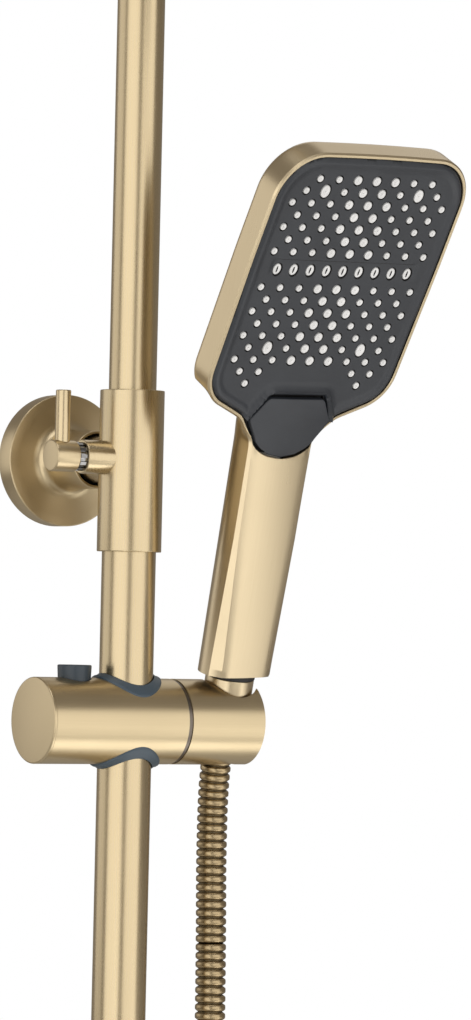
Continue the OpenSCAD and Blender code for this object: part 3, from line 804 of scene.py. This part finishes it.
def build_face():
    outline, notch = face_outline()
    coords, edges = [], []

    def add_loop(points):
        base = len(coords)
        coords.extend(points)
        edges.extend((base + k, base + (k + 1) % len(points)) for k in range(len(points)))
        return range(base, base + len(points))

    boundary = list(add_loop(outline))
    holes = [(u, v, r, r) for u, v, s in nozzle_spots() for r in [(SMALL_R, LARGE_R, 0)[s]] if s < 2]
    holes += [(u, v, *OVAL) for u, v, s in nozzle_spots() if s == 2]
    slots = [(k * SLOT_PITCH, 0, *SLOT) for k in range(-4, 5)]
    for u, v, a, b in holes + slots:
        add_loop(ring_points(u, v, a + GROOVE, b + GROOVE, 24))
        add_loop(ring_points(u, v, a + GROOVE - 0.1, b + GROOVE - 0.1, 24))
    for grow in (0, BAND_WALL):
        x, low, high = BAND_HALF + grow, BAND_LOW - grow, BAND_HIGH + grow
        add_loop([tuple(q) for q in resampled(rounded([(0, low), (x, low, 2), (x, high, 2), (-x, high, 2),
                                                       (-x, low, 2), (0, low)]), 1.5)[:-1]])
    taken = np.array(coords)
    for i in range(-46, 47):
        for j in range(-66, 47):
            q = np.array((i * 1.28, j * 1.28))
            if np.linalg.norm(taken - q, axis=1).min() > 0.75:
                coords.append(tuple(q))
    out = delaunay_2d_cdt([Vector(c) for c in coords], edges, [boundary], 1, 1e-5)
    flat = [tuple(v) for v in out[0]]
    triangles = [tuple(f) for f in out[2]]
    loop = outline + outline[:1]
    edge_gap = distance_to(flat, loop)
    notch_gap = distance_to(flat, notch)
    verts, sunk = [], set()
    for (u, v), gap, near in zip(flat, edge_gap, notch_gap):
        rim = -0.95 * math.sin(math.pi * min(gap / 5, 1)) + 0.5 * (1 - smooth(0, 0.8, gap))
        swell = -2.2 * (1 - smooth(1.5, 3.6, near)) + 1.2 * (1 - smooth(0, 1.1, near))
        weight = smooth(1.5, 5.0, near)
        depth = mixed(swell, rim, weight) + 0.25
        inside = min(BAND_HALF - abs(u), BAND_HIGH - v, v - BAND_LOW) / BAND_WALL + 1
        depth += 0.4 * min(max(inside, 0), 1) * smooth(BAND_LOW, BAND_HIGH, v)
        for a_u, a_v, a, b in holes + slots:
            if abs(u - a_u) < 4 and abs(v - a_v) < 5:
                if math.hypot((u - a_u) / (a + GROOVE - 0.05), (v - a_v) / (b + GROOVE - 0.05)) < 1:
                    depth += 0.9
                    sunk.add(len(verts))
        verts.append((u, depth, v))
    count = len(verts)
    verts += [(u, 2.45, v) for u, _, v in verts]
    faces = list(triangles) + [tuple(i + count for i in f[::-1]) for f in triangles]
    sides = {(a, b) for f in triangles for a, b in zip(f, f[1:] + f[:1])}
    faces += [(a, b, b + count, a + count) for a, b in sorted(sides) if (b, a) not in sides]
    # The slot band's upper wall, whose faces are painted near-black as a shadow line.
    wall = {k for k, (u, v) in enumerate(flat)
            if abs(u) < BAND_HALF + BAND_WALL and BAND_HIGH - 0.01 < v < BAND_HIGH + BAND_WALL + 0.01}
    # Painted shade: the grooves round the nozzles and the band's upper wall get the near-black material.
    black = [k for k, f in enumerate(triangles) if sunk.intersection(f) or wall.issuperset(f)]
    # A near-black backing behind the plate's gaps and the pocket floor behind the paddle: painted shade.
    for shape in (prism(grown(outline, 0.35), 1.6, 2.4), transformed(well(), FACE.inverted() @ PADDLE)):
        black += range(len(faces), len(faces) + len(shape[1]))
        verts, faces = joined((verts, faces), shape)
    add_piece("face_plate", verts, faces, FACE, "charcoal_plastic", "spray_face", sharp=40,
              extra=("painted_shade_black", black))


def dome(u, v, a, b, tip, hole, slit=1):
    """One soft nozzle: a rounded rim round a shallow dish with a hole in its middle."""
    ring = [(1.0, 2.0, 1.0), (1.0, tip + 0.4, 1.0), (0.97, tip + 0.2, 0.97), (0.87, tip + 0.05, 0.87),
            (0.74, tip, 0.74), (0.6, tip + 0.13, 0.62), (hole + 0.08, tip + 0.13, hole * slit + 0.06),
            (hole, tip + 0.2, hole * slit), (hole * 0.8, tip + 1, hole * slit * 0.9)]
    steps = 24
    verts = [(u + a * k * math.cos(2 * math.pi * i / steps), y, v + b * m * math.sin(2 * math.pi * i / steps))
             for k, y, m in ring for i in range(steps)]
    faces = []
    for k in range(len(ring) - 1):
        for i in range(steps):
            j = (i + 1) % steps
            faces.append((k * steps + i, k * steps + j, (k + 1) * steps + j, (k + 1) * steps + i))
    faces.append(tuple(range((len(ring) - 1) * steps, len(ring) * steps)))
    faces.append(tuple(range(steps - 1, -1, -1)))
    # The hole's wall and floor get the near-black material: painted shade inside the hole.
    dark = list(range((len(ring) - 2) * steps, (len(ring) - 1) * steps + 1))
    return verts, faces, dark


def dome_group(name, node, spots, place):
    verts, faces, dark = [], [], []
    for spot in spots:
        some_verts, some_faces, some_dark = dome(*spot)
        dark += [len(faces) + k for k in some_dark]
        faces += [tuple(i + len(verts) for i in f) for f in some_faces]
        verts += some_verts
    add_piece(name, verts, faces, place, "nozzle_silicone", node, sharp=60, extra=("painted_shade_black", dark))


def build_nozzles():
    spots = nozzle_spots()
    dome_group("small_nozzle_tips", "nozzles_small",
               [(u, v, SMALL_R, SMALL_R, -0.1, 0.08) for u, v, s in spots if s == 0], FACE)
    dome_group("large_nozzle_tips", "nozzles_large",
               [(u, v, LARGE_R, LARGE_R, -0.1, 0.06) for u, v, s in spots if s == 1], FACE)
    dome_group("oval_nozzle_tips", "nozzles_oval",
               [(u, v, *OVAL, -0.1, 0.06) for u, v, s in spots if s == 2], FACE)
    dome_group("slot_nozzle_tips", "nozzles_slot",
               [(k * SLOT_PITCH, 0, *SLOT, 0.55, 0.2, 3) for k in range(-4, 5)], FACE)


def pillow(outline, front, back, edge):
    """A flat piece with softly rounded front edges, drawn in X and Z, from a closed outline."""
    p = np.array(outline)
    ahead = np.roll(p, -1, axis=0) - np.roll(p, 1, axis=0)
    ahead /= np.linalg.norm(ahead, axis=1)[:, None]
    inward = np.stack([-ahead[:, 1], ahead[:, 0]], axis=1)
    rings = [(0, back), (0, front + edge)]
    turns = [math.radians(22.5 * k) for k in range(1, 5)]
    rings += [(edge * (1 - math.cos(a)), front + edge * (1 - math.sin(a))) for a in turns]
    verts = [(x, y, z) for inset, y in rings for x, z in p + inward * inset]
    n = len(p)
    faces = [(k * n + i, k * n + (i + 1) % n, (k + 1) * n + (i + 1) % n, (k + 1) * n + i)
             for k in range(len(rings) - 1) for i in range(n)]
    faces.append(tuple(range(n)))
    top = len(rings) - 1
    faces.append(tuple(range(top * n, (top + 1) * n)))
    return verts, faces


def build_paddle():
    half = [(0, 0), (8, 1.5), (13.6, 4.4), (17, 7.4), (18.2, 9.6), (19.8, 11.9), (22, 14.8),
            (23.5, 17.3), (23.9, 18.7), (21.4, 22.2), (19.2, 25.6), (17.3, 28.4),
            (15.6, 29.5), (8, 29.6), (0, 29.6)]
    right = resampled(half, 1.0)
    outline = [tuple(q) for q in right] + [(-u, v) for u, v in right[::-1][1:-1]]
    verts, faces = pillow(outline, 1.4, 3.8, 0.5)
    verts = [(x, y + 0.8 * (x / 20) ** 2, z) for x, y, z in verts]
    add_piece("selector_paddle", verts, faces, PADDLE, "charcoal_plastic", "paddle", sharp=40)


def build_grip():
    cone = [(7.6, -16), (9.2, -16, 0.5), (11.4, 8, 3), (11.4, 22.2, 0.5), (10.5, 22.2), (10.5, 8),
            (7.6, 4), (7.6, -16)]
    lathe("cone_nut", cone, SOCKET, "plated_plastic", "hose_cone_nut", steps=96)
    ring = [(10.5, 22.3), (11.6, 22.3, 0.3), (11.6, 24.4, 0.3), (10.5, 24.4), (10.5, 22.3)]
    lathe("black_ring", ring, HANDSET, "black_rubber", "handle_ring", steps=96)


# ---------------------------------------------------------------- outlet and overhead shower

def fluted(count, depth):
    return lambda a, r, z: 1 - depth * (0.5 + 0.5 * math.cos(count * a)) ** 3 if r > 12 else 1


def build_outlet():
    nut = [(7.6, -25), (11.8, -25, 0.8), (13, -23.5, 0.6), (13, -5.4, 0.6), (12.2, -4.2, 0.4), (10.5, -4.2),
           (10.5, -18), (7.6, -18), (7.6, -25)]
    lathe("lower_nut", nut, LOWER @ moved(0, 0, -45), "brushed_gold", "hose_lower_nut", steps=144,
          wave=fluted(18, 0.06))


RAIN_R = 125


def build_rain_head():
    place = Matrix.Translation((0, RAIN.y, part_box("rain_shell")[0].z))
    shell = [(0, 5.6), (123.1, 5.6), (123.1, 0.2), (124.0, 0, 0.4), (125, 0.6, 0.5), (125, 7, 1.6),
             (118, 8, 4), (46, 8.6, 14), (24, 13.2, 8), (17.5, 16, 2), (17.5, 18.9, 0.4), (9.2, 18.9),
             (9.2, 6.5), (0, 6.5)]
    lathe("rain_shell_disc", shell, place, "gold_flat", "rain_shell", steps=192)
    nut = [(9.3, 19), (17.5, 19, 0.6), (17.5, 31.5, 1.2), (16.2, 35, 1), (11, 35, 0.4), (11, 31),
           (9.3, 31), (9.3, 19)]
    lathe("rain_ball_nut", nut, place, "brushed_gold", "ball_nut", steps=144, wave=fluted(24, 0.045))
    face = [(0, 0.35), (112, 0.35), (118.5, -0.35, 3), (122.9, 0.5, 0.6), (122.9, 2.4), (0, 2.4)]
    lathe("rain_face_disc", face, place, "charcoal_plastic", "rain_face", steps=192)
    rings = 6
    spots = [(0, 0)] + [((RAIN_R - 15) * k / rings * math.cos(math.radians(60 * i / k)),
                         (RAIN_R - 15) * k / rings * math.sin(math.radians(60 * i / k)))
                        for k in range(1, rings + 1) for i in range(6 * k)]
    dome_group("rain_nozzle_tips", "rain_nozzles", [(x, -y, 2.2, 2.2, -1.3, 0.15) for x, y in spots],
               place @ about("X", -90) @ about("Z", 180))


# ---------------------------------------------------------------- carried-over nodes

# The friction ring takes the darkened steel: painted shade in its gap.
CAD_FINISH = {"slider_barrel": "gold_across", "knuckle": "gold_across", "friction_ring": "steel_in_painted_shade"}


def finish_nodes():
    for name, node in NODES.items():
        node.data.materials.clear()
        node.data.materials.append(MATERIALS[CAD_FINISH.get(name, SLOT_OF[name])])


# ---------------------------------------------------------------- studio

def softbox(name, azimuth, elevation, distance, width, height, power, colour=(1, 1, 1)):
    light = bpy.data.lights.new(name, "AREA")
    light.shape = "RECTANGLE"
    light.size, light.size_y = width, height
    light.energy = power
    light.color = colour
    lamp = bpy.data.objects.new(name, light)
    back = towards(azimuth, elevation)
    aim = (-back).to_track_quat("-Z", "Y").to_matrix().to_4x4()
    lamp.matrix_world = Matrix.Translation(Vector((0, COLUMN_Y, 0)) + back * distance) @ aim
    lamp.visible_camera = False
    bpy.context.scene.collection.objects.link(lamp)


def build_studio():
    warm = (1, 0.985, 0.96)
    softbox("left_softbox", CAMERA_AZIMUTH - 33, 4, 2.6, 3.2, 2.4, 31, warm)
    softbox("right_softbox", CAMERA_AZIMUTH + 46, 2, 2.6, 3.2, 2.2, 27, warm)
    softbox("back_left_softbox", CAMERA_AZIMUTH - 102, 8, 2.6, 2.2, 1.8, 9, warm)
    softbox("back_right_softbox", 129, 41, 2.4, 1.8, 1.4, 4, warm)
    softbox("low_right_softbox", 48, -28, 2.3, 1.4, 0.9, 5, warm)
    softbox("low_front_softbox", 46, -58, 1.45, 0.9, 0.6, 3, warm)
    softbox("low_left_softbox", CAMERA_AZIMUTH - 10, -27, 2.3, 0.9, 0.7, 3, warm)
    softbox("top_softbox", CAMERA_AZIMUTH + 10, 70, 2.2, 1.8, 1.2, 12)
    world = bpy.data.worlds.new("studio")
    bpy.context.scene.world = world
    world.use_nodes = True
    nodes, links = world.node_tree.nodes, world.node_tree.links
    backdrop = nodes["Background"]
    backdrop.inputs["Color"].default_value = (1, 1, 1, 1)
    room = nodes.new("ShaderNodeBackground")
    room.inputs["Color"].default_value = (0.27, 0.245, 0.22, 1)
    seen = nodes.new("ShaderNodeLightPath")
    mix = nodes.new("ShaderNodeMixShader")
    links.new(seen.outputs["Is Camera Ray"], mix.inputs["Fac"])
    links.new(room.outputs["Background"], mix.inputs[1])
    links.new(backdrop.outputs["Background"], mix.inputs[2])
    links.new(mix.outputs["Shader"], nodes["World Output"].inputs["Surface"])
    bpy.context.scene.view_settings.view_transform = "Standard"
    floor_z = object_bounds()[0].z - 0.12
    mesh = bpy.data.meshes.new("floor")
    half = 4.0
    mesh.from_pydata([(-half, -half, floor_z), (half, -half, floor_z), (half, half, floor_z),
                      (-half, half, floor_z)], [], [(0, 1, 2, 3)])
    material, nodes, links, shader = new_material("floor")
    tone = ranged(nodes, links, noise_at(nodes, links, (2, 2, 2)), 0, 1)
    links.new(two_tone(nodes, links, tone, (0.78, 0.78, 0.77), (0.82, 0.82, 0.81)),
              shader.inputs["Base Color"])
    shader.inputs["Roughness"].default_value = 0.8
    mesh.materials.append(material)
    floor = bpy.data.objects.new("floor", mesh)
    bpy.context.scene.collection.objects.link(floor)


finish_nodes()
build_column()
build_slider()
build_housing()
build_face()
build_nozzles()
build_paddle()
build_grip()
build_outlet()
build_rain_head()
build_studio()
